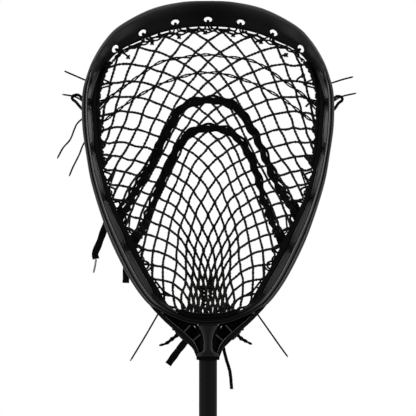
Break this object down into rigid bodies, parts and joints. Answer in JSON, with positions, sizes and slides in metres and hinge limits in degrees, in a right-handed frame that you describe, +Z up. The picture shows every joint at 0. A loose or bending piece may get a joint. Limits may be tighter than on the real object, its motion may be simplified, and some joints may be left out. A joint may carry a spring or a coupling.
{
  "type": "lacrosse goalie stick",
  "caption": "Strung goalie stick: wide egg-shaped moulded head with a deep net pocket, laces and free lace ends, on a straight tubular shaft with a rubber end cap.",
  "frame": {"origin": "middle of the flat bottom of the end cap, on the shaft's axis", "axes": "+Z up the shaft to the head, +X across the head, the catching side of the head faces -Y"},
  "size_m": [0.3675, 0.1518, 1.0165],
  "materials": {
    "head_plastic": "moulded, satin",
    "screw_steel": "blackened steel",
    "pad_foam": "closed-cell foam",
    "shaft_metal": "black anodised, matte",
    "cap_rubber": "moulded, matte",
    "net_cord": "knotted polyester cord",
    "lacing": "woven flat lace",
    "nylon_cord": "twisted nylon cord",
    "aglet_plastic": "shrunk clear-grey sleeve"
  },
  "bodies": {
    "root": {"head_frame": "head_plastic", "head_screw": "screw_steel", "ball_stop_pad": "pad_foam", "shaft": "shaft_metal", "end_cap": "cap_rubber", "pocket_net": "net_cord", "shooting_lace_upper": "lacing", "shooting_lace_lower": "lacing", "nylon_shooter_upper": "nylon_cord", "nylon_shooter_lower": "nylon_cord", "sidewall_string_left": "net_cord", "sidewall_string_right": "net_cord", "top_string": "net_cord", "bottom_string": "net_cord", "nylon_tail_left_1": "nylon_cord", "nylon_tail_left_2": "nylon_cord", "nylon_tail_left_3": "nylon_cord", "nylon_tail_left_4": "nylon_cord", "nylon_tail_left_5": "nylon_cord", "nylon_tail_right_1": "nylon_cord", "nylon_tail_right_2": "nylon_cord", "nylon_tail_right_3": "nylon_cord", "lace_loop_left": "lacing", "lace_loop_right": "lacing", "tied_end_left": "lacing", "tied_end_right": "lacing", "round_lace_right": "lacing", "flat_lace_left_upper": "lacing", "flat_lace_left_lower": "lacing", "flat_strap_left": "lacing", "lace_aglet": "aglet_plastic"}
  },
  "joints": []
}
